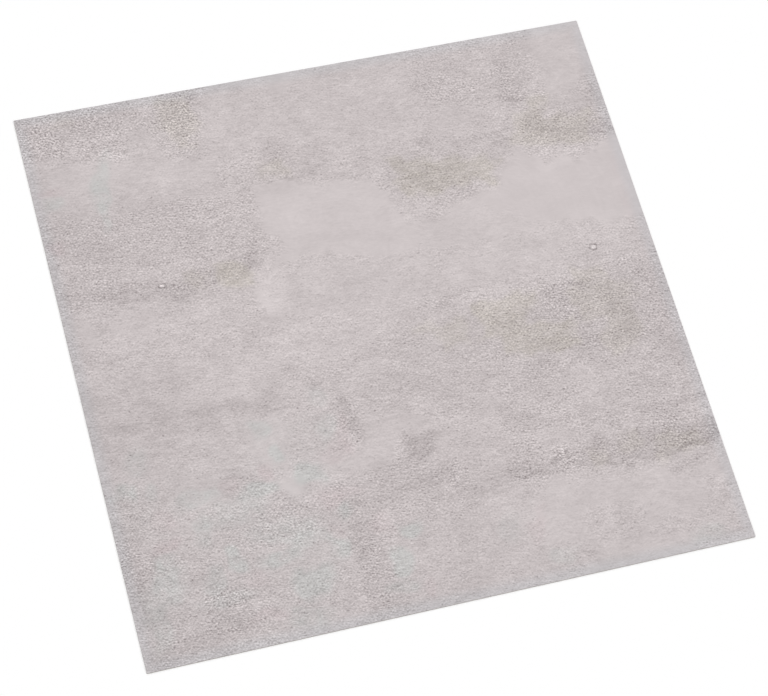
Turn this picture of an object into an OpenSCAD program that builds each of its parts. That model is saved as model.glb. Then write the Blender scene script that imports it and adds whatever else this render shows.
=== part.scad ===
// Square self-adhesive vinyl floor tile, lying face up on its paper release liner.
// The origin is the centre of the liner's underside, and +Z comes out of the printed face.

/* [Tile] */
// Length of each side of the square tile
tile_side = 305; // [100:1:610]
// Thickness of the vinyl, with the adhesive coat on its back
vinyl_t = 1; // [0.8:0.1:5]

/* [Cut edge] */
// Radius that the cutting die rolls along the top edge
arris_r = 0.15; // [0.05:0.01:0.3]
// Radius of the four corners, seen from above
corner_r = 0.4; // [0.4:0.1:5]

/* [Release liner] */
// Thickness of the paper that covers the adhesive
liner_t = 0.12; // [0.08:0.01:0.3]

/* [Hidden] */
$fn = 48;
// Straight stretch of a side, between its two corner curves
straight = tile_side - 2 * corner_r;
// Colours of the printed vinyl and of the coated paper
vinyl_grey = [0.78, 0.75, 0.745];
paper_white = [0.93, 0.92, 0.89];

// Half of the vinyl's section: reach is the way from its middle line to the cut edge
module half_section(reach) {
    square([reach - arris_r, vinyl_t]);
    square([reach, vinyl_t - arris_r]);
    translate([reach - arris_r, vinyl_t - arris_r]) intersection() {
        circle(arris_r);
        square(arris_r);
    }
}

// The whole section, swept straight between two opposite sides
module band() {
    translate([0, straight / 2, 0]) rotate([90, 0, 0]) linear_extrude(straight) {
        half_section(tile_side / 2);
        mirror([1, 0]) half_section(tile_side / 2);
    }
}

// One corner, where the cut edge turns from one side into the next
module corner() {
    translate([straight / 2, straight / 2, 0]) rotate_extrude(angle = 90) half_section(corner_r);
}

// Plan of the die that cuts tile and liner in one stroke
module die_outline() {
    square([tile_side, straight], center = true);
    square([straight, tile_side], center = true);
    for (x = [-1, 1], y = [-1, 1]) {
        translate([x, y] * straight / 2) circle(corner_r);
    }
}

// Printed vinyl sheet: two crossing bands and the four corners, as one solid
module tile() {
    color(vinyl_grey) translate([0, 0, liner_t]) {
        for (turn = [0, 90]) rotate(turn) band();
        for (turn = [0 : 90 : 270]) rotate(turn) corner();
    }
}

// Paper sheet under the adhesive, cut flush with the tile
module release_liner() {
    color(paper_white) linear_extrude(liner_t) die_outline();
}

tile();
release_liner();
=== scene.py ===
"""A vinyl floor tile with a concrete print, its paper liner and a plain studio.

The print's tables are in millimetres from the middle of the tile, and everything else is in metres.
"""
import math
from typing import NamedTuple

import bmesh
import bpy
import numpy as np
from bpy.props import FloatProperty, FloatVectorProperty, IntProperty, PointerProperty
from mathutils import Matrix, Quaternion, Vector, noise


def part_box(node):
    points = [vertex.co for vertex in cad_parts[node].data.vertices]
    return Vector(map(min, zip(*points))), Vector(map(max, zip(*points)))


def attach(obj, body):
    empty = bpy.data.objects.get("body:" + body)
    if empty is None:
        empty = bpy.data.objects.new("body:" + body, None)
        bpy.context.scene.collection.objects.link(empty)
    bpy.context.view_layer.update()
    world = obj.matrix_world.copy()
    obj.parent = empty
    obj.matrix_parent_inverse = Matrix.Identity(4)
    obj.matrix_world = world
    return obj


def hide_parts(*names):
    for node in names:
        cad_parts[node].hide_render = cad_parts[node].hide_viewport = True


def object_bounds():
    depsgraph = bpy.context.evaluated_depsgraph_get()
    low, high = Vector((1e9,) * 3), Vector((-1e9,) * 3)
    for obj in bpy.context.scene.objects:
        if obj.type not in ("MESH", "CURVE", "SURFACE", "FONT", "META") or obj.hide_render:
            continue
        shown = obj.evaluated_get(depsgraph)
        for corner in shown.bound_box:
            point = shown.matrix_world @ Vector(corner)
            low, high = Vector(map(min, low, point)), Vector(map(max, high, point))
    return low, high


bl_info = {
    "name": "Concrete Print Floor Tile",
    "version": (1, 0, 0),
    "blender": (4, 5, 0),
    "location": "View3D > Sidebar > Floor Tile",
    "description": "Makes a vinyl floor tile with a concrete print, its paper liner and a plain studio",
    "category": "Object",
}

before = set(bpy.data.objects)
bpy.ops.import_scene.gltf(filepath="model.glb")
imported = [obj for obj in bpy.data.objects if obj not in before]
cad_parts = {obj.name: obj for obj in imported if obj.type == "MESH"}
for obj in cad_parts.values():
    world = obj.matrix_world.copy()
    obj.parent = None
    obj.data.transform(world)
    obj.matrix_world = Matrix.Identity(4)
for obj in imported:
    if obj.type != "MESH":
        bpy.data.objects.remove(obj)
CAD_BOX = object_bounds()
TILE_LOW, TILE_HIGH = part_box("tile")
TILE_SIDE = TILE_HIGH.x - TILE_LOW.x
MM = 0.001


class Patch(NamedTuple):
    """A soft area of the print: its middle, half sizes, how much it changes the print, and its turn."""

    x: float
    y: float
    wide: float
    high: float
    change: float
    turn: float = 0


def patches(*rows):
    """The soft areas that these rows give."""
    return tuple(Patch(*row) for row in rows)


class Zone(NamedTuple):
    """A ragged area of the print: its corners, the sand or tan that it lays down, and its shade."""

    corners: tuple
    sand: float | None = None
    tan: float | None = None
    shade: float = 0


def zone(*places, **finish):
    """The ragged area round these corners, which are given as x and y in turn."""
    return Zone(tuple(zip(places[::2], places[1::2])), **finish)


# Soft areas that are lighter, or darker below 0, by this many levels of 255
SHADES = patches(
    # Thin dark trowel strokes
    (109, 114, 10, 1, -11), (92, 89, 8, 1, -9, -4), (130, 96, 12, 1, -9, -3), (121, 90, 5, 0.9, -8),
    (-38, -23.5, 7, 1.1, -14), (-112, -47, 14, 0.9, -6), (-63, -84, 7, 1, -10, -28),
    (-104, -126, 13, 1.2, -10, -4), (22, -97.5, 22, 0.9, -8), (90, -97, 30, 1, -8, 1),
    (130, -98.5, 24, 1.1, -9, 3), (100.5, -101, 2, 1.5, -18), (72, -92, 2.5, 1.5, -10),
    (-140, 121.5, 6, 1, -6), (-109, 121, 3, 1, -12, -12), (-101, 121, 3, 1.2, -14, 12),
    (-70, 127, 4, 1.2, -14, 14), (-117, 128, 4, 1, -8), (142, 20, 4, 1, -9), (139, -118, 4, 0.8, -8, -30),
    (142, -122, 4, 0.8, -8, -30), (145, -127, 4, 0.8, -7, -30), (-25, 93.5, 2, 0.9, -14),
    (-135, 28, 1.2, 1.8, -10), (-40, 52.8, 4, 0.9, -9), (128, 128, 2, 1, -10, -40),
    (-50, 127.5, 1.5, 0.9, -12), (-31, 128.5, 1.5, 0.9, -12), (-40, 115, 5, 1, -7, -10),
    (-27, 112, 3, 0.9, -8, -10),
    # Far left
    (-60, 128, 10, 6, 4), (-134, 147, 22, 9, -6), (-106, 146, 16, 9, -6), (-70, 141, 12, 11, -7),
    (-134, 132, 9, 7, -7), (-106, 124, 7, 4, -6), (-126, 112, 8, 6, -3), (-79, 100, 8, 4, -3),
    (-68, 125, 5, 6, -2.5), (-86, 138, 8, 6, -1), (-90, 122, 20, 5, 1), (-104, 112, 32, 12, 4),
    (-70, 104, 20, 10, 3), (-136, 87, 10, 7, -4), (-117, 93, 6, 6, 3),
    # Far middle
    (0, 128, 52, 24, 1.5), (38, 133, 12, 8, 3), (-24, 105, 8, 5, -6, -12), (-30, 98, 8, 4, -4),
    (-45, 101, 6, 5, 4), (28, 94, 8, 4, 3), (24, 81, 4, 6, 3.5), (-43, 112, 8, 7, 2), (-30, 147, 10, 4, -3),
    (-50, 136, 8, 16, 2.5), (-10, 95, 14, 4, -3), (38, 102, 52, 5, 2.5),
    # Far right
    (80, 103, 9, 7, 3), (117, 117, 8, 6, 3), (72, 130, 20, 12, -2), (62, 130, 8, 4, -3),
    (106, 126, 6, 14, -6), (118, 143, 8, 6, -3), (138, 132, 14, 16, 4), (94, 138, 9, 6, 4.5),
    (98, 109, 6, 5, 6), (126, 75, 6, 4, 4), (144, 104, 9, 9, -5), (151, 116, 5, 10, -5),
    (113, 97, 7, 8, -5), (126, 88, 16, 5, -3.5, -4), (146, 86, 8, 4, -5), (64, 93, 18, 6, -4),
    (90, 92, 12, 8, -3),
    # Stained patch right of the middle
    (40, 82, 9, 6, -5), (55, 76, 17, 8, -5.5, -6), (58, 60, 16, 6, -1), (78, 66, 8, 4, -3),
    (32, 58, 6, 6, 6.5),
    # Sanded area on the left
    (-82, 46, 8, 6, -4), (-122, 43, 12, 6, -3.5), (-53, 34, 11, 5, 3.5), (-100, 70, 54, 22, -3.6),
    (-66, 74, 14, 16, 2.5), (-82, 87, 8, 4, 3), (-106, 78, 7, 6, -2), (-130, 54, 12, 4, -3),
    (-130, 78, 18, 12, -2.5), (-132, 45, 18, 5, -3), (-92, 39, 11, 10, -8, 6), (-64, 43, 16, 5, -5, 5),
    (-53, 44, 6, 6, -7.5), (-88, 52.5, 24, 3, 4.5), (-100, 20, 40, 14, 3.2), (-86, 24, 10, 8, 2),
    (-62, 10, 7, 8, -4), (-126, 8, 9, 6, -3), (-140, 18, 9, 8, -2),
    # Trowelled middle
    (-6, 56, 8, 5, -3), (-3, 21, 8, 6, -3.5), (-8, 67, 34, 16, 3.5), (-30, 70, 9, 14, 2.5),
    (-47, 32, 7, 12, 8.5), (2, 29, 44, 19, 3.5), (-35, -1, 26, 13, 5), (5, 4, 12, 6, 5),
    (-33, 52, 6, 4, 2.5),
    # Trowelled area on the right
    (112, 74, 9, 6, 3.5), (128, 76, 7, 8, 3), (110, 56, 42, 20, 3.8), (56, 50, 14, 8, 2, 20),
    (100, 28, 50, 12, 4), (58, 23, 14, 9, 4), (91, 14, 12, 6, 4), (141, 17, 14, 7, 3), (54, 4, 9, 5, 4.5),
    (126, 26, 10, 4, 3), (79, 59, 7, 4, 2.5),
    # Worn area on the right
    (64, -1, 13, 7, 3), (146, -53, 6, 8, -3), (108, -18, 44, 18, -3, 4), (76, 8, 20, 6, 3, 12),
    (78, -27, 12, 8, -2, -12), (125, -20, 7, 14, -5, 12), (74, -44, 10, 6, -9), (112, -45, 9, 5, -4.5),
    (141, -46, 12, 9, -5), (129, -57, 6, 6, 3), (64, -49, 12, 4, -3.5), (116, -61, 8, 6, -4),
    (102, -36, 9, 7, -4.5), (113, 2, 6, 5, -6.5), (145, 0, 8, 5, -4), (52, -14, 8, 7, -3),
    (146, -38, 8, 7, -4), (32, 1, 8, 4, -6.5), (30, -24, 34, 20, -3.5), (-12, -24, 8, 6, 4),
    # Brushed area on the left
    (-72, -10, 15, 12, 4), (-98, -8, 12, 6, -3), (-130, -18, 22, 14, -4.5), (-112, -28, 42, 4, -7),
    (-70, -30, 20, 4, -6.5), (-109, -38, 18, 5, -8), (-124, -62, 14, 14, -3), (-143, -41, 8, 9, -7),
    (-84, -54, 20, 8, 2), (-5, -39, 10, 6, -3), (-65, -46, 9, 14, 5.5), (-25, -46, 4, 14, -9, 8),
    (-38, -28, 9, 9, 2.5), (-22, -38, 6, 5, -3.5), (-46, -57, 5, 5, -3), (-109, -2, 10, 4, 2.5),
    (-81, -23, 8, 4, 3), (2, -26, 7, 6, 3),
    # Near middle
    (-58, -102, 8, 9, 3.5), (-65, -80, 7, 5, 3.5), (10, -75, 6, 4, -3), (-22, -125, 8, 6, 3),
    (12, -124, 6, 5, -3), (5, -69, 7, 7, -13), (12, -60, 5, 4, 4), (-10, -84, 16, 13, -8),
    (-3, -56, 8, 5, 3), (-26, -66, 20, 6, 4, 14), (-60, -76, 10, 5, 5), (-88, -72, 8, 8, -4),
    (-104, -68, 18, 12, -1), (-142, -79, 8, 7, -6), (-150, -104, 6, 46, -4), (-139, -104, 11, 13, -7.5),
    (-76, -93, 36, 7, -3.5), (-36, -89, 14, 6, 2), (20, -89, 15, 7, -7.5), (35, -51, 10, 4, -3.5),
    # Near right
    (128, -72, 12, 7, -3.5), (143, -118, 7, 5, 4), (94, -124, 7, 5, -3), (96, -52, 10, 8, 4),
    (127, -77, 10, 6, -6), (112, -77, 5, 5, 3), (58, -68, 12, 6, -5), (105, -72, 7, 6, -3.5),
    (51, -81, 8, 6, -5), (40, -58, 26, 12, 1.2), (52, -94, 14, 5, -10), (65, -86, 6, 5, 1),
    (82, -93, 14, 5, -6), (102, -92, 16, 6, -9), (138, -94, 19, 7, -10, -4), (132, -108, 11, 4, -6),
    (116, -100, 7, 4, 4), (96, -84, 7, 4, 3), (94, -114, 54, 9, 2.5), (4, -142, 26, 9, -2.5),
    (38, -99, 20, 4, -4), (42, -114, 8, 5, 3), (34, -126, 6, 8, -3), (94, -131, 7, 12, -6.5),
    (78, -125, 5, 7, -4), (69, -143, 6, 6, -6), (138, -127, 6, 4, -2), (131, -147, 8, 4, -6),
    # Near left
    (-100, -128, 50, 24, -3.5), (-113, -141, 15, 6, -8.5), (-116, -104, 8, 8, -4), (-147, -148, 10, 6, -4),
    (-136, -134, 12, 14, -7), (-114, -131, 7, 4, -4.5), (-34, -120, 9, 32, -9), (0, -122, 24, 22, -1.5),
    (-52, -114, 7, 8, 1.5), (-27, -143, 14, 5, -2.5), (-150, 10, 7, 160, -3.5), (0, -151, 154, 6, -2),
)
# Soft areas that are cooler, or pinker below 0
COOLS = patches(
    # Broad areas and the sides
    (-60, -60, 22, 20, 0.08), (-60, -112, 12, 12, 0.07), (-141, -72, 12, 12, 0.08),
    (-100, -62, 22, 12, 0.04), (0, -152, 154, 4, 0.06), (0, 152, 154, 4, 0.03), (153, 10, 8, 142, -0.12),
    # Cool grey spots
    (-117, 103, 4, 18, 0.6, -12), (-145, 98, 6, 5, 0.5), (-70, -43, 5, 5, 0.6), (-65, -58, 4, 5, 0.8),
    (-40, -29, 5, 5, 0.35), (-41, -50, 6, 8, 0.35, -12), (-133, -48, 8, 8, 0.3, -12),
    (-144, -64, 5, 5, 0.5), (-130, -66, 4, 5, 0.35), (-108, -72, 12, 4, 0.4), (-80, -77, 8, 4, 0.7),
    (-52, -72, 6, 5, 0.9), (-96, -84, 16, 7, 0.3), (-94, -108, 52, 40, 0.045),
    (-112, -90, 5, 10, 0.35, -12), (-72, -96, 16, 6, 0.35), (-40, -94, 4, 4, 0.5), (-60, -104, 12, 5, 0.4),
    (-97, -106, 5, 5, 0.8), (-131, -110, 6, 12, 0.5), (-112, -114, 6, 5, 0.4), (-77, -111, 10, 4, 0.6),
    (-50, -114, 6, 6, 0.6), (-65, -128, 8, 7, 0.85), (-14, -109, 5, 4, 0.9), (-20, -125, 6, 6, 0.9),
    (-24, -137, 9, 4, 0.35), (-142, -128, 7, 16, 0.4), (-108, -124, 12, 4, 0.3), (-72, -143, 12, 5, 0.4),
    (37, -122, 4, 8, 0.2, -12), (58, -141, 6, 5, 0.35), (130, -144, 8, 5, 0.3),
    # Pink spots between them
    (-144, 105, 8, 3, -0.5), (-146, 76, 4, 4, -0.5), (-31, -54, 4, 10, -0.4, -12), (-39, -63, 8, 3, -0.4),
    (-75, -66, 4, 6, -0.7), (-92, -68, 5, 4, -0.4), (-128, -78, 5, 5, -0.35), (-130, -93, 6, 4, -0.6),
    (-42, -85, 12, 4, -0.5), (-49, -104, 4, 5, -0.4), (-90, -141, 9, 3, -0.4), (-92, -117, 5, 5, -0.35),
    (-24, -105, 4, 5, -0.4), (-10, -143, 4, 5, -0.4), (48, -123, 4, 8, -0.4, -12),
)
# Ragged areas: sand runs from 0 where the print is trowelled smooth to 1 where it is roughest
ZONES = (
    # Weathered band along the far left, with its roughest spots
    zone(-155, 155, -155, 127, -146, 126, -133, 126, -124, 122, -112, 121, -106, 119, -99, 119, -98, 130,
        -88, 128, -84, 120, -78, 114, -64, 112, -62, 124, -57, 140, -53, 155, sand=0.7),
    zone(-155, 146, -155, 128, -134, 127, -128, 134, -136, 148, sand=0.95),
    zone(-80, 150, -80, 131, -74, 119, -66, 116, -62, 132, -62, 150, sand=0.92),
    zone(-122, 134, -122, 125, -110, 120, -100, 119, -100, 136, -110, 138, sand=0.8),
    zone(-104, 152, -124, 152, -122, 138, -104, 140, sand=0.85),
    zone(-98, 134, -98, 120, -86, 120, -84, 134, sand=0.38),
    # Trowelled strip under it
    zone(-149, 122, -130, 121, -112, 119, -95, 117, -84, 119, -76, 112, -60, 110, -56, 104, -58, 97, -80, 95,
        -100, 95, -112, 97, -120, 92, -128, 89, -137, 93, -149, 104, sand=0.26),
    zone(-140, 117, -112, 116, -100, 112, -100, 104, -140, 106, sand=0.19),
    zone(-112, 102, -84, 96, -58, 98, -58, 90, -84, 89, -114, 89, sand=0.33),
    # Middle of the far side
    zone(-53, 155, -56, 126, -60, 112, -20, 112, 30, 100, 50, 104, 54, 155, sand=0.32),
    zone(-56, 106, -40, 111, -18, 109, -19, 98, -22, 90, -34, 91, -40, 85, -56, 88, sand=0.55),
    zone(-20, 155, -17, 140, -11, 140, -8, 155, sand=0.1),
    zone(48, 104, 58, 102, 58, 88, 48, 88, sand=0.5),
    zone(78, 100, 100, 100, 100, 84, 88, 86, 78, 84, sand=0.5),
    # Worn area towards the far right, and the trowelled corner
    zone(58, 155, 54, 134, 54, 122, 62, 117, 82, 117, 88, 110, 86, 103, 98, 100, 122, 103, 124, 118,
        120, 128, 127, 133, 122, 155, sand=0.52),
    zone(56, 134, 70, 132, 86, 130, 86, 119, 64, 119, 56, 124, sand=0.65),
    zone(100, 134, 108, 134, 108, 116, 122, 114, 120, 110, 100, 112, sand=0.78),
    zone(60, 114, 86, 114, 84, 104, 60, 104, sand=0.28),
    zone(121, 155, 122, 140, 126, 124, 123, 112, 134, 108, 142, 117, 155, 124, 155, 155, sand=0.16),
    zone(140, 112, 155, 120, 155, 98, 144, 98, sand=0.55),
    zone(122, 109, 140, 109, 144, 100, 122, 101, sand=0.3),
    # Stained band on the right
    zone(99, 101, 122, 102, 146, 100, 155, 98, 155, 84, 140, 79, 127, 73, 118, 78, 110, 73, 103, 79, 100, 86,
        sand=0.68),
    # Stained patch right of the middle
    zone(22, 84, 30, 91, 50, 88, 62, 90, 78, 85, 86, 76, 82, 66, 70, 63, 60, 57, 50, 54, 42, 54, 36, 62,
        28, 68, 22, 76, sand=0.55),
    zone(54, 70, 72, 71, 74, 64, 56, 61, sand=0.68),
    # Sanded area on the left
    zone(-155, 94, -141, 88, -122, 86, -100, 88, -80, 90, -62, 88, -46, 86, -42, 78, -43, 66, -38, 58,
        -40, 50, -48, 46, -58, 40, -72, 37, -88, 36, -92, 26, -97, 33, -100, 41, -112, 40, -130, 36,
        -155, 38, sand=0.63),
    zone(-118, 52, -97, 52, -98, 48, -116, 49, sand=0.35),
    zone(-96, 43, -88, 42, -90, 34, -96, 36, sand=0.8),
    zone(-68, 49, -58, 48, -59, 41, -68, 42, sand=0.75),
    # Worn ground under it, with its smooth pockets
    zone(-155, 36, -112, 37, -100, 38, -60, 34, -56, 20, -58, 2, -155, 2, sand=0.48),
    zone(-147, 33, -138, 33, -136, 18, -147, 18, sand=0.2),
    zone(-131, 31, -108, 35, -104, 26, -112, 16, -130, 20, sand=0.28),
    # Trowelled middle
    zone(-43, 83, -37, 90, -22, 90, -14, 83, 0, 84, 20, 79, 26, 68, 26, 60, 36, 50, 32, 38, 18, 35, 4, 38,
        -10, 44, -28, 46, -40, 40, -54, 32, -55, 14, -46, 12, -50, 34, -40, 44, -36, 50, -38, 58, -43, 66,
        sand=0.07, shade=3.5),
    zone(-50, 34, -28, 40, 4, 34, 30, 36, 34, 12, 4, 8, -20, 12, -50, 14, sand=0.27),
    # Trowelled area on the right
    zone(34, 52, 50, 50, 54, 56, 64, 57, 74, 62, 84, 64, 88, 72, 95, 78, 100, 83, 105, 75, 111, 71, 120, 74,
        128, 70, 140, 75, 150, 81, 155, 81, 155, 34, 136, 30, 120, 35, 104, 38, 80, 34, 34, 36, sand=0.02,
        shade=3),
    zone(34, 50, 70, 56, 92, 46, 100, 36, 60, 34, 34, 38, sand=0.16),
    zone(34, 36, 70, 32, 100, 37, 112, 32, 100, 14, 50, 10, 24, 20, sand=0.27),
    zone(38, 36, 46, 34, 44, 22, 38, 22, sand=0.45),
    zone(96, 16, 114, 16, 118, 24, 126, 20, 128, 8, 96, 6, sand=0.5),
    zone(130, 26, 146, 26, 148, 14, 132, 12, sand=0.5),
    # Brushed area on the left, with its smooth pockets
    zone(-155, 0, -60, -2, -58, -58, -110, -62, -155, -56, sand=0.38),
    zone(-77, -37, -60, -37, -59, -56, -66, -69, -77, -60, sand=0.2),
    zone(-67, -71, -57, -71, -57, -80, -67, -80, sand=0.04),
    zone(-119, -60, -98, -60, -96, -78, -116, -79, sand=0.26),
    # Worn streak left of the middle
    zone(-55, -8, -38, -7, -20, -16, -19, -40, -18, -58, -24, -65, -34, -60, -36, -46, -54, -34, sand=0.48),
    zone(-44, -20, -30, -20, -33, -27, -44, -26, sand=0.65),
    zone(-33, -44, -22, -36, -19, -56, -26, -62, -31, -56, sand=0.65),
    zone(-18, -50, 2, -49, 12, -56, 4, -60, -6, -66, -14, -75, -40, -74, -48, -64, -28, -66, sand=0.22),
    # Coarse ground in the near left quarter
    zone(-155, -60, -138, -58, -120, -74, -96, -80, -88, -66, -78, -68, -60, -82, -20, -80, -2, -62, 8, -62,
        12, -74, 24, -80, 26, -104, 8, -112, -20, -108, -22, -155, -155, -155, sand=0.56),
    zone(-126, -80, -112, -80, -112, -90, -126, -90, sand=0.4),
    zone(-155, -84, -146, -88, -140, -98, -136, -106, -155, -112, sand=0.75),
    zone(-146, -60, -134, -60, -132, -78, -146, -76, sand=0.66),
    zone(-86, -86, -72, -84, -58, -86, -57, -102, -74, -105, -92, -106, -92, -99, -84, -98, sand=0.68),
    zone(-46, -78, -38, -80, -34, -98, -44, -98, sand=0.68),
    zone(-90, -104, -70, -108, -52, -108, -48, -122, -72, -124, -90, -116, sand=0.42),
    zone(-119, -121, -98, -121, -97, -131, -118, -130, sand=0.92),
    zone(-118, -130, -92, -130, -88, -144, -118, -142, sand=0.7),
    zone(-44, -111, -27, -111, -28, -134, -30, -145, -40, -145, -42, -128, sand=0.68),
    zone(-88, -143, -50, -143, -48, -155, -88, -155, sand=0.42),
    zone(-20, -110, -2, -112, -2, -132, -20, -134, sand=0.4),
    zone(12, -80, 22, -80, 21, -92, 12, -92, sand=0.72),
    # Middle of the near side
    zone(-20, -10, 52, 0, 60, -50, 46, -50, 14, -48, -16, -48, sand=0.5),
    zone(14, -50, 48, -56, 48, -74, 42, -98, 30, -100, 26, -78, 10, -72, sand=0.42),
    zone(17, -50, 36, -49, 36, -60, 30, -61, 17, -58, sand=0.52),
    zone(22, -100, 58, -104, 52, -134, 62, -155, 8, -155, 14, -136, 22, -126, sand=0.36),
    # Worn area on the right
    zone(22, 8, 50, 10, 64, 4, 96, 8, 128, 10, 155, 10, 155, -104, 122, -102, 60, -100, 48, -106, 44, -84,
        50, -50, 52, 0, 22, 0, sand=0.6),
    zone(78, 5, 100, 3, 155, 3, 155, -34, 128, -36, 96, -36, 74, -30, 78, -10, sand=0.68),
    zone(84, 3, 100, 3, 104, -8, 98, -20, 88, -14, sand=0.85),
    zone(130, 10, 144, 11, 144, 3, 130, 3, sand=0.7),
    zone(66, -12, 80, -12, 80, -22, 68, -24, sand=0.66),
    zone(90, -46, 110, -46, 110, -72, 92, -70, sand=0.44),
    zone(60, -72, 82, -74, 80, -84, 62, -86, sand=0.42),
    zone(44, -94, 50, -76, 60, -78, 62, -88, 90, -86, 122, -88, 126, -80, 140, -82, 155, -82, 155, -98,
        104, -99, 101, -106, 97, -99, 46, -99, sand=0.68),
    zone(69, -85, 77, -85, 77, -95, 68, -94, sand=1.0),
    zone(124, -82, 134, -83, 137, -98, 128, -96, sand=0.85),
    # Trowelled area by the near right corner
    zone(57, -103, 66, -100, 80, -106, 98, -107, 106, -105, 118, -104, 125, -113, 134, -113, 140, -109,
        148, -105, 155, -108, 155, -119, 142, -119, 135, -124, 131, -134, 108, -130, 104, -140, 126, -144,
        120, -155, 62, -155, 72, -140, 50, -134, 50, -118, sand=0.19, shade=2),
    zone(84, -102, 106, -101, 112, -106, 96, -108, sand=0.4),
    zone(120, -101, 155, -101, 152, -108, 136, -110, 122, -112, sand=0.48),
    zone(74, -119, 84, -120, 102, -122, 102, -134, 90, -140, 72, -138, sand=0.42),
    zone(134, -115, 148, -117, 151, -132, 140, -134, sand=0.45),
    zone(62, -135, 70, -135, 72, -148, 62, -148, sand=0.42),
    zone(136, -122, 148, -120, 155, -130, 155, -155, 124, -155, 128, -138, 134, -134, sand=0.42),
    # Tan stains
    zone(-80, 150, -62, 149, -61, 132, -66, 118, -75, 118, -77, 130, -81, 132, tan=0.38),
    zone(-135, 152, -124, 152, -123, 143, -134, 143, tan=0.2),
    zone(-39, 103, -23, 101, -23, 92, -38, 95, tan=0.42),
    zone(-73, 50, -60, 50, -55, 45, -56, 35, -64, 36, -72, 40, tan=0.66),
    zone(-86, 48, -77, 48, -77, 39, -86, 39, tan=0.33),
    zone(27, 92, 36, 90, 50, 87, 70, 84, 85, 80, 86, 75, 82, 70, 82, 66, 76, 66, 71, 71, 56, 66, 46, 66,
        33, 68, 31, 76, 36, 80, 30, 84, tan=0.58),
    zone(110, 112, 121, 112, 119, 103, 118, 98, 142, 98, 143, 88, 138, 79, 128, 80, 103, 84, 98, 88, 100, 99,
        104, 104, 111, 104, tan=0.46),
    zone(104, 9, 122, 7, 124, 0, 104, 0, tan=0.42),
    zone(18, -5, 34, -7, 43, -6, 46, -20, 31, -21, 30, -11, 18, -10, tan=0.4),
    zone(50, 0, 86, 2, 84, -5, 75, -8, 77, -15, 84, -18, 98, -18, 98, -34, 80, -34, 62, -31, 60, -20,
        50, -20, tan=0.58),
    zone(102, -2, 120, 0, 134, -4, 132, -20, 128, -41, 113, -42, 110, -34, 115, -22, 102, -20, tan=0.38),
    zone(84, -90, 93, -90, 93, -99, 84, -99, tan=0.36),
    zone(103, -84, 112, -84, 112, -94, 103, -94, tan=0.35),
    zone(119, -89, 143, -90, 144, -100, 120, -101, tan=0.42),
    zone(120, -101, 126, -101, 124, -107, 119, -107, tan=0.3),
    # Darker bands
    zone(-155, 49, -130, 49, -112, 48, -100, 46, -84, 46, -76, 49, -52, 51, -48, 47, -58, 41, -84, 37,
        -88, 32, -99, 32, -101, 38, -114, 39, -128, 39, -155, 41, shade=-4),
    zone(29, 90, 50, 88, 66, 86, 72, 82, 74, 72, 66, 67, 50, 67, 38, 70, 32, 76, shade=-4),
    zone(101, 96, 108, 101, 118, 98, 130, 95, 155, 92, 155, 81, 142, 80, 124, 81, 112, 83, 104, 84,
        shade=-4.5),
    zone(58, -8, 72, -3, 92, 1, 110, 4, 128, 1, 155, -4, 155, -30, 140, -36, 118, -38, 96, -36, 74, -32,
        62, -22, shade=-3.5),
    zone(110, -86, 124, -84, 140, -86, 155, -84, 155, -98, 134, -99, 118, -98, shade=-5),
    zone(-155, -25, -100, -25, -70, -27, -70, -31, -110, -31, -155, -32, shade=-1.5),
)
# The plain ground, where no area changes it
GROUND = {"shade": 0.0, "sand": 0.42, "tan": 0.0, "cool": 0.0}
# Share of a patch's half size over which its edge fades to each side, and how square its outline is
PATCH_FADE = 0.42
PATCH_SQUARENESS = 2.5
# How far the edge of a zone reaches to each side, in millimetres
ZONE_FADE = 2.5
TROWEL_CENTRE = (34 * MM, 37 * MM, TILE_HIGH.z)


class PinMark(NamedTuple):
    """A mark that a formwork pin leaves in the print: its middle, half sizes, pale dot and dark ring."""

    x: float
    y: float
    wide: float
    high: float
    dot: float
    ring: float


PIN_MARKS = (
    PinMark(-99.9, 43.7, 1.7, 1.1, dot=0.36, ring=0.35),
    PinMark(120.9, 18.8, 1.9, 1.6, dot=0.24, ring=0.4),
)

# Where the faces of the sheet lie on its bake map: the printed face fills it, and the rest is in the margin
FACE_FROM, FACE_SPAN = 0.02, 0.96
STRIP_FROM, STRIP_HIGH = (0.002, 0.0105, 0.9835, 0.992), 0.006
BACK_FROM, BACK_SPAN = (0.002, 0.4), 0.014
# Upward share of a face's normal under which the face is cut vinyl and has no print
STEEPEST_PRINT = 0.1
# Distance under which two measures count as the same
CLOSE = 0.01 * MM
# Rim that stays flat, the way over which the embossing sets in from there, and its share on smooth ground
RELIEF_CLEAR, RELIEF_RISE, SMOOTH_RELIEF = 1.5 * MM, 3 * MM, 0.3
# Place of the plain print between its deep and pale grey, and the step there that shows as one level of 255
PRINT_TONE, SHADE_STEP = 0.494, 0.0092


def seen(red, green, blue):
    """The linear colour that shows as these sRGB values, from 0 to 255."""
    return tuple(((c / 255 + 0.055) / 1.055) ** 2.4 for c in (red, green, blue))


class SheetSizes(bpy.types.PropertyGroup):
    """Sizes of the vinyl sheet that the frame's box doesn't give."""

    corner: FloatProperty(
        name="Corner", description="Radius of the four corners, seen from above",
        default=0.4 * MM, min=0, unit="LENGTH",
    )
    arris: FloatProperty(
        name="Arris", description="Radius that the cutting die rolls along the top edge",
        default=0.15 * MM, min=0, unit="LENGTH",
    )
    relief: FloatProperty(
        name="Relief", description="Depth of the embossing where the print is sandiest",
        default=0.03 * MM, min=0, unit="LENGTH",
    )
    relief_length: FloatProperty(
        name="Relief Length", description="Length of the embossing's largest waves",
        default=7 * MM, min=MM, unit="LENGTH",
    )
    cells: IntProperty(
        name="Cells", description="Cells of the mesh along each side of the printed face",
        default=280, min=20, max=300,
    )


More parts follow.
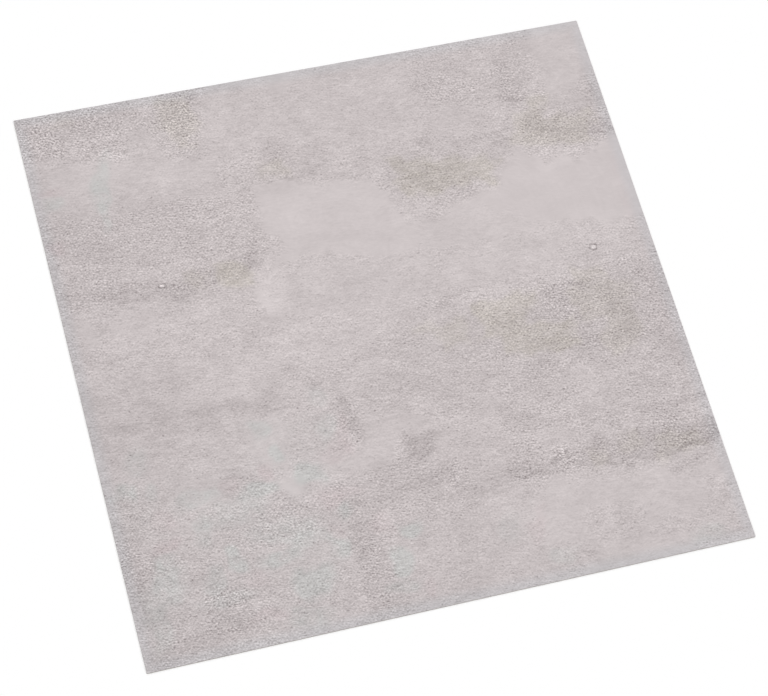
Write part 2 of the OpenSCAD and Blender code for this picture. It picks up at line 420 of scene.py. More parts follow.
class PrintLook(bpy.types.PropertyGroup):
    """Colours and grain of the concrete print."""

    deep: FloatVectorProperty(
        name="Deep Grey", description="Colour of the print's darkest grains",
        default=seen(126.1, 116.8, 117), min=0, max=1, size=3, subtype="COLOR",
    )
    pale: FloatVectorProperty(
        name="Pale Grey", description="Colour of the print's lightest grains",
        default=seen(240.2, 231.4, 231.6), min=0, max=1, size=3, subtype="COLOR",
    )
    tan: FloatVectorProperty(
        name="Tan", description="Tint of the tan stains",
        default=(0.968, 0.975, 0.885), min=0, max=1, size=3, subtype="COLOR",
    )
    cool: FloatVectorProperty(
        name="Cool", description="Tint of the cool grey mottle",
        default=(0.93, 1.0, 0.985), min=0, max=1, size=3, subtype="COLOR",
    )
    warm: FloatVectorProperty(
        name="Warm", description="Tint of the pink mottle between it",
        default=(1.0, 0.96, 0.97), min=0, max=1, size=3, subtype="COLOR",
    )
    rim: FloatVectorProperty(
        name="Rim", description="Tint of the rim, where light gets in under the clear wear layer",
        default=(0.942, 0.983, 1.0), min=0, max=1, size=3, subtype="COLOR",
    )
    grain: FloatProperty(
        name="Grain", description="Contrast of the sand grain where the print is sandiest",
        default=0.468, min=0, max=1, subtype="FACTOR",
    )
    grain_length: FloatProperty(
        name="Grain Length", description="Length of a sand grain, along X",
        default=1.0 * MM, min=0.1 * MM, unit="LENGTH",
    )
    grain_width: FloatProperty(
        name="Grain Width", description="Width of a sand grain, along Y",
        default=0.52 * MM, min=0.1 * MM, unit="LENGTH",
    )
    slant: FloatProperty(
        name="Slant", description="Turn of the grain from the sides of the tile, clockwise from above",
        default=math.radians(7), subtype="ANGLE",
    )
    wear: FloatProperty(
        name="Wear", description="Contrast of the ragged wear, strongest halfway between smooth and sandy",
        default=0.2, min=0, max=1, subtype="FACTOR",
    )
    brushing: FloatProperty(
        name="Brushing", description="Contrast of the brush marks",
        default=0.115, min=0, max=1, subtype="FACTOR",
    )
    trowelling: FloatProperty(
        name="Trowelling", description="Contrast of the trowel's arcs in the smooth areas",
        default=0.014, min=0, max=1, subtype="FACTOR",
    )
    mottle: FloatProperty(
        name="Mottle", description="Contrast of the cloudy mottle",
        default=0.06, min=0, max=1, subtype="FACTOR",
    )
    mottle_length: FloatProperty(
        name="Mottle Length", description="Length of the mottle's largest clouds, along X",
        default=20 * MM, min=MM, unit="LENGTH",
    )
    roughness: FloatProperty(
        name="Roughness", description="Roughness of the matte wear layer",
        default=0.6, min=0, max=1, subtype="FACTOR",
    )


class BackLook(bpy.types.PropertyGroup):
    """Colours of the cut vinyl and of the paper liner."""

    vinyl: FloatVectorProperty(
        name="Cut Vinyl", description="Colour of the filled vinyl where the die has cut it",
        default=seen(190, 184, 182), min=0, max=1, size=3, subtype="COLOR",
    )
    paper: FloatVectorProperty(
        name="Paper", description="Colour of the coated paper",
        default=seen(240, 238, 231), min=0, max=1, size=3, subtype="COLOR",
    )
    fibre: FloatVectorProperty(
        name="Fibre", description="Colour of the paper where its fibres are thin",
        default=seen(226, 222, 212), min=0, max=1, size=3, subtype="COLOR",
    )


class StudioLook(bpy.types.PropertyGroup):
    """The camera's place and the level of the light."""

    azimuth: FloatProperty(
        name="Azimuth", description="Turn of the camera round the tile, 0 looks along Y",
        default=math.radians(-27.916), subtype="ANGLE",
    )
    elevation: FloatProperty(
        name="Elevation", description="Height of the camera over the horizon",
        default=math.radians(63.623), subtype="ANGLE",
    )
    roll: FloatProperty(
        name="Roll", description="Turn of the camera round its own line of sight",
        default=math.radians(13.886), subtype="ANGLE",
    )
    distance: FloatProperty(
        name="Distance", description="Way from the camera to the point that it looks at",
        default=1.30719, min=0.1, unit="LENGTH",
    )
    aim: FloatVectorProperty(
        name="Aim", description="Point on the floor that the camera looks at",
        default=(0.01505, -0.02101, 0), size=3, subtype="TRANSLATION", unit="LENGTH",
    )
    lens: FloatProperty(
        name="Lens", description="Focal length in millimetres, on a 36 mm frame",
        default=122.549, min=10,
    )
    shift: FloatVectorProperty(
        name="Shift", description="Way of the lens to the right and up, in picture widths",
        default=(-0.04194, 0.01054), size=2,
    )
    sky: FloatProperty(
        name="Sky", description="Brightness of the even light from all sides",
        default=0.34, min=0,
    )
    lamps: FloatProperty(
        name="Lamps", description="Brightness that all the soft lamps together give a level face",
        default=0.66, min=0,
    )
    floor: FloatProperty(
        name="Floor", description="Whiteness of the floor to the camera",
        default=1.0, min=0, max=1, subtype="FACTOR",
    )


class Lamp(NamedTuple):
    """A soft lamp: where it stands round the tile, how large it looks, and its share of the lamps' light."""

    name: str
    azimuth: float
    elevation: float
    spread: float
    share: float


LAMPS = (
    Lamp("key_lamp", -65, 62, 40, 0.4),
    Lamp("fill_lamp", 45, 60, 50, 0.3),
    Lamp("back_lamp", 170, 68, 50, 0.3),
)
FLOOR_REACH = 8.0
# The floor lies just clear of the liner, so that neither face flickers through the other
FLOOR_DROP = 0.05 * MM
FLOOR_BOUNCE = 0.8


# How much shorter each wave of a wobble is than the one before, and how far its way and its start turn on
WAVE_SHRINK, WAVE_TURN, WAVE_START = 0.7, 2.4, 3.7


def wobble(x, y, phase, longest, waves, height):
    """A smooth sideways shift in millimetres, so that no area keeps a drawn outline."""
    total = np.zeros_like(x)
    length, turn = longest, phase
    for wave in range(waves):
        across = x * math.cos(turn) + y * math.sin(turn)
        total += height * length * np.sin(2 * math.pi * across / length + WAVE_START * wave + phase)
        length *= WAVE_SHRINK
        turn += WAVE_TURN
    return total


def inside(x, y, corners):
    """How far each place lies inside a closed outline, in millimetres, and less than 0 outside it."""
    nearest = np.full_like(x, np.inf)
    within = np.zeros(x.shape, bool)
    for (x1, y1), (x2, y2) in zip(corners, corners[1:] + corners[:1]):
        along_x, along_y = x2 - x1, y2 - y1
        share = ((x - x1) * along_x + (y - y1) * along_y) / (along_x ** 2 + along_y ** 2)
        share = np.clip(share, 0, 1)
        nearest = np.minimum(nearest, np.hypot(x - x1 - share * along_x, y - y1 - share * along_y))
        if y1 != y2:
            crossed = (y1 > y) != (y2 > y)
            within ^= crossed & (x < x1 + (y - y1) * along_x / along_y)
    return np.where(within, nearest, -nearest)


def eased(share):
    """0 below 0, 1 above 1, and a smooth rise between them."""
    share = np.clip(share, 0, 1)
    return share * share * (3 - 2 * share)


def print_fields(x, y):
    """Shade, sand, tan and cool of the print at these places, in millimetres."""
    fields = {name: np.full_like(x, ground) for name, ground in GROUND.items()}
    soft_x = x + wobble(x, y, 0.6, 46, 6, 0.04)
    soft_y = y + wobble(x, y, 2.1, 46, 6, 0.04)
    for name, patch in [("shade", patch) for patch in SHADES] + [("cool", patch) for patch in COOLS]:
        cos, sin = math.cos(math.radians(patch.turn)), math.sin(math.radians(patch.turn))
        across, up = soft_x - patch.x, soft_y - patch.y
        u = np.abs(across * cos + up * sin) / patch.wide
        v = np.abs(up * cos - across * sin) / patch.high
        out = (u ** PATCH_SQUARENESS + v ** PATCH_SQUARENESS) ** (1 / PATCH_SQUARENESS)
        fields[name] += patch.change * eased((1 + PATCH_FADE - out) / (2 * PATCH_FADE))

    ragged_x = x + wobble(x, y, 1.1, 20, 7, 0.075)
    ragged_y = y + wobble(x, y, 2.9, 15, 6, 0.065)
    for area in ZONES:
        share = eased(0.5 + inside(ragged_x, ragged_y, area.corners) / (2 * ZONE_FADE))
        fields["shade"] += area.shade * share
        for name in ("sand", "tan"):
            finish = getattr(area, name)
            if finish is not None:
                fields[name] += (finish - fields[name]) * share
    return fields


class Graph:
    """A node tree, filled one node at a time."""

    def __init__(self, tree):
        self.tree = tree
        tree.nodes.clear()

    def add(self, kind, inputs=None, **settings):
        """Adds a node; an input's value is a number, a colour or the socket that feeds it."""
        node = self.tree.nodes.new("ShaderNode" + kind)
        for name, value in settings.items():
            setattr(node, name, value)
        for name, value in (inputs or {}).items():
            self.feed(node.inputs[name], value)
        return node

    def feed(self, socket, value):
        """Gives an input its value, or links it to the socket that feeds it."""
        if isinstance(value, bpy.types.NodeSocket):
            self.tree.links.new(value, socket)
        else:
            socket.default_value = value

    def maths(self, operation, *values, clamp=False):
        """Works out one number from up to three."""
        node = self.add("Math", dict(enumerate(values)), operation=operation, use_clamp=clamp)
        return node.outputs[0]

    def times(self, first, second, clamp=False):
        """Multiplies two numbers."""
        return self.maths("MULTIPLY", first, second, clamp=clamp)

    def times_plus(self, first, second, more, clamp=False):
        """Multiplies two numbers and adds a third."""
        return self.maths("MULTIPLY_ADD", first, second, more, clamp=clamp)

    def vector(self, operation, first, second):
        """Works out one vector from two."""
        return self.add("VectorMath", {0: first, 1: second}, operation=operation).outputs[0]

    def mix(self, share, first, second, blend="MIX"):
        """Mixes two colours."""
        colours = [(*colour, 1) if isinstance(colour, tuple) else colour for colour in (first, second)]
        inputs = {0: share, 6: colours[0], 7: colours[1]}
        return self.add("Mix", inputs, data_type="RGBA", blend_type=blend).outputs[2]

    def ramp(self, value, low, high):
        """0 under low, 1 over high, and a smooth rise between them."""
        inputs = {"Value": value, "From Min": low, "From Max": high}
        return self.add("MapRange", inputs, interpolation_type="SMOOTHSTEP").outputs[0]

    def field(self, name):
        """One of the fields that the mesh carries."""
        return self.add("Attribute", attribute_type="GEOMETRY", attribute_name=name).outputs["Fac"]

    def group(self, tree, inputs):
        """Places a node group."""
        return self.add("Group", inputs, node_tree=tree).outputs


def new_group(name, inputs, outputs):
    """An empty node group with these sockets, and the graph that fills it."""
    tree = bpy.data.node_groups.new(name, "ShaderNodeTree")
    graph = Graph(tree)
    for socket_name, kind in inputs.items():
        tree.interface.new_socket(socket_name, in_out="INPUT", socket_type=kind)
    for socket_name, kind in outputs.items():
        tree.interface.new_socket(socket_name, in_out="OUTPUT", socket_type=kind)
    return tree, graph, tree.nodes.new("NodeGroupInput").outputs


# Contrast of the grain, and the noise at which a dark speck starts and is full
GRAIN_SPREAD, SPECK_FROM, SPECK_FULL = 4.0, 0.36, 0.26


def grain_group():
    """Grain of any size: an even spread from -1 to 1, and a mask of the lone dark grains in it."""
    name = "Grain"
    if name in bpy.data.node_groups:
        return bpy.data.node_groups[name]
    tree, graph, given = new_group(
        name,
        {"Place": "NodeSocketVector", "Size": "NodeSocketVector", "Detail": "NodeSocketFloat"},
        {"Grain": "NodeSocketFloat", "Specks": "NodeSocketFloat"},
    )
    place = graph.vector("DIVIDE", given["Place"], given["Size"])
    inputs = {"Vector": place, "Scale": 1.0, "Detail": given["Detail"], "Roughness": 0.6}
    cloud = graph.add("TexNoise", inputs).outputs["Fac"]
    grain = graph.times_plus(cloud, GRAIN_SPREAD, -GRAIN_SPREAD / 2)
    specks = graph.ramp(cloud, SPECK_FROM, SPECK_FULL)
    out = tree.nodes.new("NodeGroupOutput")
    tree.links.new(grain, out.inputs["Grain"])
    tree.links.new(specks, out.inputs["Specks"])
    return tree


def grain_at(graph, place, size, detail):
    """Places the grain group, with grains of this size."""
    return graph.group(grain_group(), {"Place": place, "Size": size, "Detail": detail})


# Parts of a pin mark, as shares of its radius: the dot's reach from the middle and the ring's to each side
PIN_RAGGEDNESS = 0.22
PIN_DOT_FULL, PIN_DOT_ENDS = 0.4, 0.8
PIN_RING_FULL, PIN_RING_ENDS = 0.1, 0.4


def pin_mark_group():
    """A worn round mark: a mask of its light dot and a mask of the dark ring round it."""
    name = "Pin Mark"
    if name in bpy.data.node_groups:
        return bpy.data.node_groups[name]
    tree, graph, given = new_group(
        name,
        {"Place": "NodeSocketVector", "Centre": "NodeSocketVector", "Size": "NodeSocketVector"},
        {"Dot": "NodeSocketFloat", "Ring": "NodeSocketFloat"},
    )
    offset = graph.vector("SUBTRACT", given["Place"], given["Centre"])
    offset = graph.vector("DIVIDE", offset, given["Size"])
    out_by = graph.add("VectorMath", {0: offset}, operation="LENGTH").outputs["Value"]
    worn = grain_at(graph, offset, (0.8, 0.8, 0.8), 1.0)
    out_by = graph.times_plus(worn["Grain"], PIN_RAGGEDNESS, out_by)
    off_ring = graph.maths("ABSOLUTE", graph.maths("SUBTRACT", out_by, 1.0))
    dot = graph.ramp(out_by, PIN_DOT_ENDS, PIN_DOT_FULL)
    ring = graph.ramp(off_ring, PIN_RING_ENDS, PIN_RING_FULL)
    gaps = graph.times_plus(worn["Grain"], -0.6, 0.8, clamp=True)
    ring = graph.times(ring, gaps)
    out = tree.nodes.new("NodeGroupOutput")
    tree.links.new(dot, out.inputs["Dot"])
    tree.links.new(ring, out.inputs["Ring"])
    return tree


def new_material(name):
    """An empty material and the graph that fills it."""
    material = bpy.data.materials.new(name)
    material.use_nodes = True
    return material, Graph(material.node_tree)


def shine(graph, inputs, bump_height, bump_distance, bump_strength):
    """Ends a graph with a Principled BSDF whose normal comes from a bump."""
    bump = graph.add("Bump", {"Height": bump_height, "Distance": bump_distance, "Strength": bump_strength})
    shader = graph.add("BsdfPrincipled", {**inputs, "Normal": bump.outputs["Normal"]})
    graph.add("OutputMaterial", {"Surface": shader.outputs["BSDF"]})


# Share of short streaks in the sand grain, and of what is taken off it above and below
STREAK_SHARE, CRISPNESS = 0.55, 0.11


def sand_grains(graph, place, look):
    """Fine grain with short streaks. A share of what lies all round is taken off, which keeps it crisp."""
    fine_size = (look.grain_length, look.grain_width, look.grain_width)
    streak_size = Vector((4, 1, 1)) * look.grain_width
    spots = [(Vector(), 1.0)]
    for turn in (30, 90, 150, 210, 270, 330):
        outwards = Vector((math.cos(math.radians(turn)), math.sin(math.radians(turn)), 0))
        spots.append((2 * look.grain_width * outwards, -CRISPNESS * abs(outwards.y)))
    grains = 0.0
    for offset, share in spots:
        spot = graph.vector("ADD", place, offset)
        fine = grain_at(graph, spot, fine_size, 1.0)
        streaks = grain_at(graph, spot, streak_size, 1.0)
        both = graph.times_plus(streaks["Grain"], STREAK_SHARE, fine["Grain"])
        grains = graph.times_plus(both, share, grains)
    return grains


def brush_marks(graph, place):
    """Long marks of a brush, which sway a little from side to side."""
    sway = grain_at(graph, place, (28 * MM, 22 * MM, 20 * MM), 0.0)
    aside = graph.add("CombineXYZ", {"Y": graph.times(sway["Grain"], 3 * MM)})
    swaying = graph.vector("ADD", place, aside.outputs[0])
    return grain_at(graph, swaying, (3.2 * MM, MM, 2 * MM), 1.0)["Grain"]


def trowel_arcs(graph, place):
    """Faint arcs that the sweep of a trowel leaves round one point."""
    swing = graph.vector("SUBTRACT", place, TROWEL_CENTRE)
    reach = graph.add("VectorMath", {0: swing}, operation="LENGTH").outputs["Value"]
    height = graph.add("SeparateXYZ", {0: place}).outputs["Y"]
    along = graph.add("CombineXYZ", {"X": reach, "Y": height}).outputs[0]
    return grain_at(graph, along, (2.2 * MM, 15 * MM, MM), 2.0)["Grain"]


# How far the clouds and the ragged wear move the sand
SAND_UNEVENNESS = 0.22
# Powers of the sand at which the grain and the brush marks set in
GRAIN_ONSET, BRUSH_ONSET = 1.3, 0.4
# Sand under which the trowel's arcs show
SMOOTH_BELOW = 0.3
# Share of the clouds everywhere, and what halfway sandy ground adds to it
CLOUD_SHARE, CLOUD_GAIN = 0.55, 1.8
SPECK_DEPTH = 0.75
# Where the tint of the rim starts and is full, from the edge, and how much lighter it makes the print
RIM_STARTS, RIM_FULL, RIM_LIFT = 8 * MM, MM, 0.018
COOL_LIFT = 0.02
# Height of the grain as the light shows it, and how strongly
GRAIN_HEIGHT, GRAIN_BUMP = 0.04 * MM, 0.3


def printed_face(look):
    """The wear layer over the print: sandy and smooth greys, tan stains, cool mottle and two pin marks."""
    material, graph = new_material("printed_face")
    place = graph.add("TexCoord").outputs["Object"]
    slanted = graph.add("VectorRotate", {"Vector": place, "Angle": look.slant}, rotation_type="Z_AXIS")
    slanted = slanted.outputs[0]
    coarse_size = 2 * Vector((look.grain_length, look.grain_width, look.grain_width))
    coarse = grain_at(graph, slanted, coarse_size, 1.0)
    ragged = grain_at(graph, place, (6 * MM, 2.5 * MM, 3 * MM), 2.0)
    cloud_size = (look.mottle_length, 0.6 * look.mottle_length, look.mottle_length)
    cloud = grain_at(graph, place, cloud_size, 3.0)

    worn = graph.times_plus(cloud["Grain"], 0.7, ragged["Grain"])
    worn = graph.times_plus(worn, SAND_UNEVENNESS, 1.0)
    sand = graph.times(worn, graph.field("sand"), clamp=True)
    contrast = graph.times(graph.maths("POWER", sand, GRAIN_ONSET), look.grain)
    grains = sand_grains(graph, slanted, look)
    tone = graph.times_plus(grains, contrast, graph.field("tone"))
    middling = graph.times(sand, graph.maths("SUBTRACT", 1.0, sand))
    cloud_share = graph.times_plus(middling, CLOUD_GAIN, CLOUD_SHARE)
    clouds = graph.times(cloud["Grain"], cloud_share)
    tone = graph.times_plus(clouds, look.mottle, tone)
    wear = graph.times(middling, ragged["Grain"])
    tone = graph.times_plus(wear, -look.wear, tone)
    brushed = graph.times(graph.maths("POWER", sand, BRUSH_ONSET), look.brushing)
    tone = graph.times_plus(brush_marks(graph, slanted), brushed, tone)
    smooth = graph.ramp(sand, SMOOTH_BELOW, 0.0)
    arcs = graph.times(trowel_arcs(graph, place), graph.times(smooth, look.trowelling))
    tone = graph.maths("ADD", tone, arcs)
    specks = graph.times(coarse["Specks"], graph.times(middling, SPECK_DEPTH))
    specks = graph.times(specks, graph.maths("SUBTRACT", 1.0, smooth))
    tone = graph.maths("SUBTRACT", tone, specks)
    for pin in PIN_MARKS:
        centre = (pin.x * MM, pin.y * MM, TILE_HIGH.z)
        size = (pin.wide * MM, pin.high * MM, 10 * MM)
        mark = graph.group(pin_mark_group(), {"Place": place, "Centre": centre, "Size": size})
        tone = graph.times_plus(mark["Dot"], pin.dot, tone)
        tone = graph.times_plus(mark["Ring"], -pin.ring, tone)

    out_by = graph.add("VectorMath", {0: place}, operation="ABSOLUTE").outputs[0]
    out_by = graph.add("SeparateXYZ", {0: out_by}).outputs
    out_by = graph.maths("MAXIMUM", out_by["X"], out_by["Y"])
    rim = graph.ramp(out_by, TILE_SIDE / 2 - RIM_STARTS, TILE_SIDE / 2 - RIM_FULL)
    tone = graph.times_plus(rim, RIM_LIFT, tone)
    tone = graph.times_plus(graph.field("cool"), COOL_LIFT, tone)
    colour = graph.mix(graph.maths("ADD", tone, 0.0, clamp=True), tuple(look.deep), tuple(look.pale))
    tan = graph.times_plus(ragged["Grain"], 0.3, 1.0)
    tan = graph.times(tan, graph.field("tan"), clamp=True)
    colour = graph.mix(tan, colour, tuple(look.tan), "MULTIPLY")
    mottled = grain_at(graph, place, (6 * MM, 6 * MM, 6 * MM), 1.0)
    mottled = graph.times_plus(mottled["Grain"], 0.7, 1.35)
    cool = graph.times(mottled, graph.field("cool"))
    warm = graph.times(cool, -1.0, clamp=True)
    cool = graph.maths("ADD", cool, 0.0, clamp=True)
    colour = graph.mix(cool, colour, tuple(look.cool), "MULTIPLY")
    colour = graph.mix(warm, colour, tuple(look.warm), "MULTIPLY")
    colour = graph.mix(rim, colour, tuple(look.rim), "MULTIPLY")
    roughness = graph.times_plus(sand, 0.06, look.roughness - 0.03)
    height = graph.times(grains, sand)
    shine(graph, {"Base Color": colour, "Roughness": roughness}, height, GRAIN_HEIGHT, GRAIN_BUMP)
    return material


def cut_vinyl(look):
    """The die-cut sides and the back: filled vinyl with fine drag lines down the cut."""
    material, graph = new_material("cut_vinyl")
    place = graph.add("TexCoord").outputs["Object"]
    drag = grain_at(graph, place, (0.5 * MM, 0.5 * MM, 4 * MM), 2.0)
    filler = grain_at(graph, place, (0.3 * MM,) * 3, 1.0)
    share = graph.times_plus(drag["Grain"], 0.35, 0.5, clamp=True)
    dark = tuple(0.82 * c for c in look.vinyl)
    light = tuple(min(1.12 * c, 1) for c in look.vinyl)
    colour = graph.mix(share, dark, light)
    colour = graph.mix(graph.times(filler["Specks"], 0.4), colour, dark)
    shine(graph, {"Base Color": colour, "Roughness": 0.7}, drag["Grain"], 0.05 * MM, 0.4)
    return material


def liner_paper(look):
    """The coated paper: a cloudy formation, short fibres and a faint cockle."""
    material, graph = new_material("liner_paper")
    place = graph.add("TexCoord").outputs["Object"]
    formation = grain_at(graph, place, (3.5 * MM, 2.8 * MM, 3 * MM), 3.0)
    fibre = grain_at(graph, place, (2.2 * MM, 0.3 * MM, 0.3 * MM), 2.0)
    share = graph.times_plus(formation["Grain"], 0.45, 0.45)
    share = graph.times_plus(fibre["Grain"], 0.3, share, clamp=True)
    colour = graph.mix(share, tuple(look.paper), tuple(look.fibre))
    height = graph.times_plus(formation["Grain"], 2.0, fibre["Grain"])
    shine(graph, {"Base Color": colour, "Roughness": 0.48}, height, 0.03 * MM, 0.35)
    return material


def level_with(edge, z):
    """True for an edge that lies at this height."""
    return all(abs(vert.co.z - z) < CLOSE for vert in edge.verts)


def at_corner(edge, half):
    """True for an edge that stands on one of the four corners."""
    return all(min(abs(vert.co.x), abs(vert.co.y)) > half - CLOSE for vert in edge.verts)


def between_top_and_side(edge):
    """True for an edge where a level face meets an upright one."""
    level = [abs(face.normal.z) > 0.5 for face in edge.link_faces]
    return len(level) == 2 and level[0] != level[1]


def sheet_form(sizes):
    """The vinyl sheet: a gridded face, sides that drop from its rim, a flat back and a rolled top edge."""
    form = bmesh.new()
    half = TILE_SIDE / 2
    bmesh.ops.create_grid(form, x_segments=sizes.cells, y_segments=sizes.cells, size=half)
    bmesh.ops.translate(form, vec=(0, 0, TILE_HIGH.z), verts=form.verts)
    rim = [edge for edge in form.edges if edge.is_boundary]
    sides = bmesh.ops.extrude_edge_only(form, edges=rim)["geom"]
    foot = [part for part in sides if isinstance(part, bmesh.types.BMVert)]
    bmesh.ops.translate(form, vec=(0, 0, TILE_LOW.z - TILE_HIGH.z), verts=foot)
    bmesh.ops.contextual_create(form, geom=[edge for edge in form.edges if edge.is_boundary])

    corners = [edge for edge in form.edges if at_corner(edge, half)]
    bmesh.ops.bevel(
        form, geom=corners, offset=sizes.corner, offset_type="OFFSET",
        affect="EDGES", segments=4, profile=0.5, material=-1,
    )
    form.normal_update()
    top_rim = [e for e in form.edges if level_with(e, TILE_HIGH.z) and between_top_and_side(e)]
    bmesh.ops.bevel(
        form, geom=top_rim, offset=sizes.arris, offset_type="OFFSET",
        affect="EDGES", segments=3, profile=0.5, material=-1,
    )
    bmesh.ops.recalc_face_normals(form, faces=form.faces)
    return form


def numbers(items, name, width):
    """One value of every item, as rows of this width."""
    found = np.zeros(len(items) * width, np.float32)
    items.foreach_get(name, found)
    return found.reshape(-1, width)


def emboss(mesh, fields, sizes):
    """Sinks the printed face a little where it is sandy, clear of its rim."""
    places = numbers(mesh.vertices, "co", 3)
    inset = TILE_SIDE / 2 - np.abs(places[:, :2]).max(1)
    share = SMOOTH_RELIEF + (1 - SMOOTH_RELIEF) * fields["sand"]
    share *= np.clip((inset - RELIEF_CLEAR) / RELIEF_RISE, 0, 1)
    for index in np.flatnonzero((share > 0) & (places[:, 2] > TILE_HIGH.z - CLOSE)):
        x, y = places[index, :2] / sizes.relief_length
        wave = noise.fractal(Vector((x, 1.4 * y, 0)), 1.0, 2.0, 3)
        places[index, 2] -= share[index] * sizes.relief * min(max(0.5 + 0.5 * wave, 0), 1)
    mesh.vertices.foreach_set("co", places.ravel())


def lay_out_map(mesh, normals):
    """Gives the sheet its bake map, with most of it for the printed face."""
    layer = mesh.uv_layers.new(name="OFBake")
    corners = numbers(mesh.polygons, "loop_total", 1)[:, 0].astype(int)
    loops = np.repeat(np.arange(len(mesh.polygons)), corners)
    vertex = numbers(mesh.loops, "vertex_index", 1)[:, 0].astype(int)
    across = numbers(mesh.vertices, "co", 3)[vertex]
    normal = normals[loops]
    share = (across - TILE_LOW) / (np.array(TILE_HIGH) - TILE_LOW)
    spots = FACE_FROM + FACE_SPAN * share[:, :2]
    back = normal[:, 2] < -0.5
    spots[back] = np.array(BACK_FROM) + BACK_SPAN * share[back, :2]
    side = np.abs(normal[:, 2]) < STEEPEST_PRINT
    along_x = np.abs(normal[:, 1]) > np.abs(normal[:, 0])
    strips = ((along_x, normal[:, 1] < 0, 0), (along_x, normal[:, 1] > 0, 0),
              (~along_x, normal[:, 0] > 0, 1), (~along_x, normal[:, 0] < 0, 1))
    for start, (faces_it, outward, axis) in zip(STRIP_FROM, strips):
        strip = side & faces_it & outward
        spots[strip, 0] = FACE_FROM + FACE_SPAN * share[strip, axis]
        spots[strip, 1] = start + STRIP_HIGH * share[strip, 2]
    layer.uv.foreach_set("vector", spots.astype(np.float32).ravel())


def vinyl_sheet(sizes, look, back_look):
    """The whole vinyl sheet, with its print."""
    mesh = bpy.data.meshes.new("vinyl_sheet")
    form = sheet_form(sizes)
    form.to_mesh(mesh)
    form.free()
    places = numbers(mesh.vertices, "co", 3)
    fields = print_fields(places[:, 0] / MM, places[:, 1] / MM)
    emboss(mesh, fields, sizes)
    fields["tone"] = PRINT_TONE + SHADE_STEP * fields.pop("shade")
    for name, values in fields.items():
        mesh.attributes.new(name, "FLOAT", "POINT").data.foreach_set("value", values.astype(np.float32))

    normals = numbers(mesh.polygons, "normal", 3)
    mesh.materials.append(printed_face(look))
    mesh.materials.append(cut_vinyl(back_look))
    mesh.polygons.foreach_set("material_index", (normals[:, 2] < STEEPEST_PRINT).astype(np.int32))
    lay_out_map(mesh, normals)
    mesh.shade_smooth()
    mesh.set_sharp_from_angle(angle=math.radians(50))
    sheet = bpy.data.objects.new("vinyl_sheet", mesh)
    bpy.context.scene.collection.objects.link(sheet)
    weighted = sheet.modifiers.new("even_shading", "WEIGHTED_NORMAL")
    weighted.keep_sharp = True
    return sheet


def dress(node, material):
    """Gives a part of the frame one material all over."""
    node.data.materials.clear()
    node.data.materials.append(material)


def around(azimuth, elevation):
    """The direction to a point round the tile. Azimuth 0 is on the near side, and more is to its right."""
    level = math.cos(elevation)
    return Vector((math.sin(azimuth) * level, -math.cos(azimuth) * level, math.sin(elevation)))


def aimed(direction):
    """The turn of a camera or lamp that stands in this direction and looks back at the tile."""
    return (-direction).to_track_quat("-Z", "Y")


def place_camera(look):
    """The camera, at the photograph's viewing angle."""
    lens = bpy.data.cameras.new("camera")
    lens.lens = look.lens
    lens.shift_x, lens.shift_y = look.shift
    lens.clip_start = 0.01
    lens.clip_end = 4 * FLOOR_REACH
    camera = bpy.data.objects.new("camera", lens)
    bpy.context.scene.collection.objects.link(camera)
    back = around(look.azimuth, look.elevation)
    camera.rotation_mode = "QUATERNION"
    camera.rotation_quaternion = Quaternion(back, look.roll) @ aimed(back)
    camera.location = Vector(look.aim) + back * look.distance
    bpy.context.scene.camera = camera


def place_lamps(look):
    """The soft lamps, which together light a level face to the wanted brightness."""
    for lamp in LAMPS:
        direction = around(math.radians(lamp.azimuth), math.radians(lamp.elevation))
        light = bpy.data.lights.new(lamp.name, "SUN")
        light.angle = math.radians(lamp.spread)
        light.energy = math.pi * look.lamps * lamp.share / direction.z
        placed = bpy.data.objects.new(lamp.name, light)
        placed.rotation_euler = aimed(direction).to_euler()
        placed.location = direction
        bpy.context.scene.collection.objects.link(placed)


def seen_directly(graph):
    """1 for a ray that shows the background as it is: from the camera, a mirror or glass."""
    rays = graph.add("LightPath").outputs
    share = graph.maths("MAXIMUM", rays["Is Camera Ray"], rays["Is Glossy Ray"])
    return graph.maths("MAXIMUM", share, rays["Is Transmission Ray"])


def light_sky(look):
    """Even light from all sides, white where it is seen."""
    world = bpy.data.worlds.new("studio")
    world.use_nodes = True
    bpy.context.scene.world = world
    graph = Graph(world.node_tree)
    light = graph.add("Background", {"Color": (1, 1, 1, 1), "Strength": look.sky})
    white = graph.add("Background", {"Color": (1, 1, 1, 1), "Strength": 1.0})
    both = graph.add("MixShader", {0: seen_directly(graph), 1: light.outputs[0], 2: white.outputs[0]})
    graph.add("OutputWorld", {"Surface": both.outputs[0]})


def floor_white(look):
    """White to the camera, greyer in the light that it throws back, and clear to all that is under it."""
    material, graph = new_material("floor_white")
    bounce = (FLOOR_BOUNCE,) * 3
    colour = graph.mix(seen_directly(graph), bounce, (look.floor,) * 3)
    matte = graph.add("BsdfDiffuse", {"Color": colour})
    clear = graph.add("BsdfTransparent")
    below = graph.add("NewGeometry").outputs["Backfacing"]
    rays = graph.add("LightPath").outputs
    # The liner would be black from below if its light stopped at the floor that it lies on
    from_liner = graph.maths("LESS_THAN", rays["Ray Length"], 4 * FLOOR_DROP)
    from_liner = graph.times(from_liner, rays["Is Diffuse Ray"])
    through = graph.maths("MAXIMUM", below, from_liner)
    both = graph.add("MixShader", {0: through, 1: matte.outputs[0], 2: clear.outputs[0]})
    graph.add("OutputMaterial", {"Surface": both.outputs[0]})
    return material


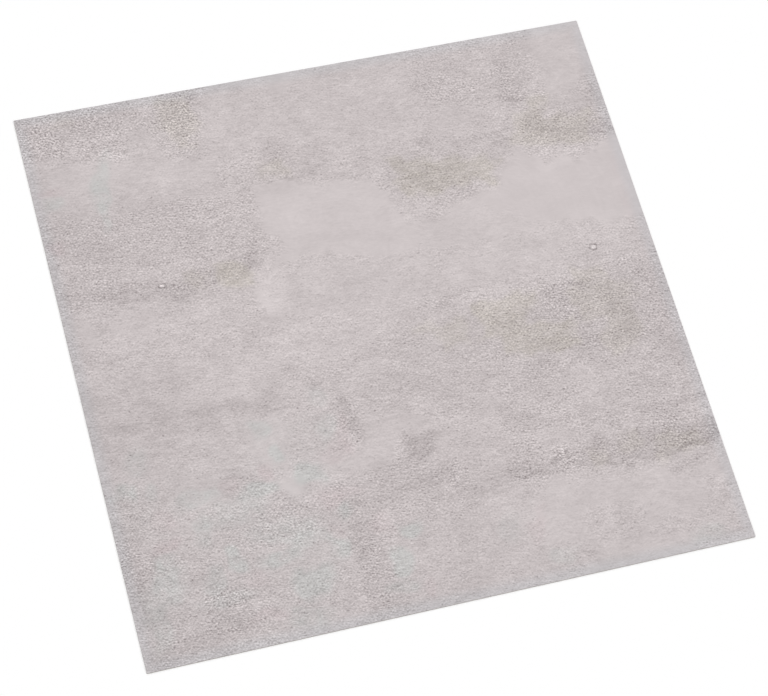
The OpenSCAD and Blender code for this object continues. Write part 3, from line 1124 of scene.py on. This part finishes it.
def lay_floor(look):
    """The floor that the tile lies on."""
    form = bmesh.new()
    bmesh.ops.create_circle(form, cap_ends=True, segments=96, radius=FLOOR_REACH)
    bmesh.ops.translate(form, vec=(0, 0, CAD_BOX[0].z - FLOOR_DROP), verts=form.verts)
    mesh = bpy.data.meshes.new("floor")
    form.to_mesh(mesh)
    form.free()
    mesh.materials.append(floor_white(look))
    floor = bpy.data.objects.new("floor", mesh)
    floor.visible_shadow = False
    bpy.context.scene.collection.objects.link(floor)
    return floor


class FLOORTILE_OT_vinyl_sheet(bpy.types.Operator):
    """Makes the vinyl sheet with its print, which stands for the tile of the frame"""

    bl_idname = "floortile.vinyl_sheet"
    bl_label = "Vinyl Sheet"

    def execute(self, context):
        scene = context.scene
        sheet = vinyl_sheet(scene.tile_sheet, scene.tile_print, scene.tile_back)
        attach(sheet, "root")
        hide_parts("tile")
        return {"FINISHED"}


class FLOORTILE_OT_release_liner(bpy.types.Operator):
    """Gives the frame's liner its paper"""

    bl_idname = "floortile.release_liner"
    bl_label = "Release Liner"

    def execute(self, context):
        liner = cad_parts["release_liner"]
        dress(liner, liner_paper(context.scene.tile_back))
        return {"FINISHED"}


class FLOORTILE_OT_studio(bpy.types.Operator):
    """Sets up the floor, the light and the camera"""

    bl_idname = "floortile.studio"
    bl_label = "Studio"

    def execute(self, context):
        look = context.scene.tile_studio
        lay_floor(look)
        light_sky(look)
        place_lamps(look)
        place_camera(look)
        context.scene.view_settings.view_transform = "Standard"
        return {"FINISHED"}


class FLOORTILE_PT_panel(bpy.types.Panel):
    """Lists the tile's pieces and their settings"""

    bl_idname = "FLOORTILE_PT_panel"
    bl_label = "Floor Tile"
    bl_space_type = "VIEW_3D"
    bl_region_type = "UI"
    bl_category = "Floor Tile"

    def draw(self, context):
        for operator, owner in PANEL_ROWS:
            box = self.layout.box()
            box.operator(operator.bl_idname)
            settings = getattr(context.scene, owner)
            for name in settings.__annotations__:
                box.prop(settings, name)


SETTINGS = {
    "tile_sheet": SheetSizes,
    "tile_print": PrintLook,
    "tile_back": BackLook,
    "tile_studio": StudioLook,
}
OPERATORS = (FLOORTILE_OT_vinyl_sheet, FLOORTILE_OT_release_liner, FLOORTILE_OT_studio)
PANEL_ROWS = (
    (FLOORTILE_OT_vinyl_sheet, "tile_sheet"),
    (FLOORTILE_OT_vinyl_sheet, "tile_print"),
    (FLOORTILE_OT_release_liner, "tile_back"),
    (FLOORTILE_OT_studio, "tile_studio"),
)


def register():
    """Adds the classes and the settings to Blender."""
    for cls in (*SETTINGS.values(), *OPERATORS, FLOORTILE_PT_panel):
        bpy.utils.register_class(cls)
    for name, cls in SETTINGS.items():
        setattr(bpy.types.Scene, name, PointerProperty(type=cls))


def unregister():
    """Takes them away again."""
    for name in SETTINGS:
        delattr(bpy.types.Scene, name)
    for cls in reversed((*SETTINGS.values(), *OPERATORS, FLOORTILE_PT_panel)):
        bpy.utils.unregister_class(cls)


def main():
    """Makes everything, in order."""
    register()
    bpy.ops.floortile.vinyl_sheet()
    bpy.ops.floortile.release_liner()
    bpy.ops.floortile.studio()


if __name__ == "__main__":
    main()
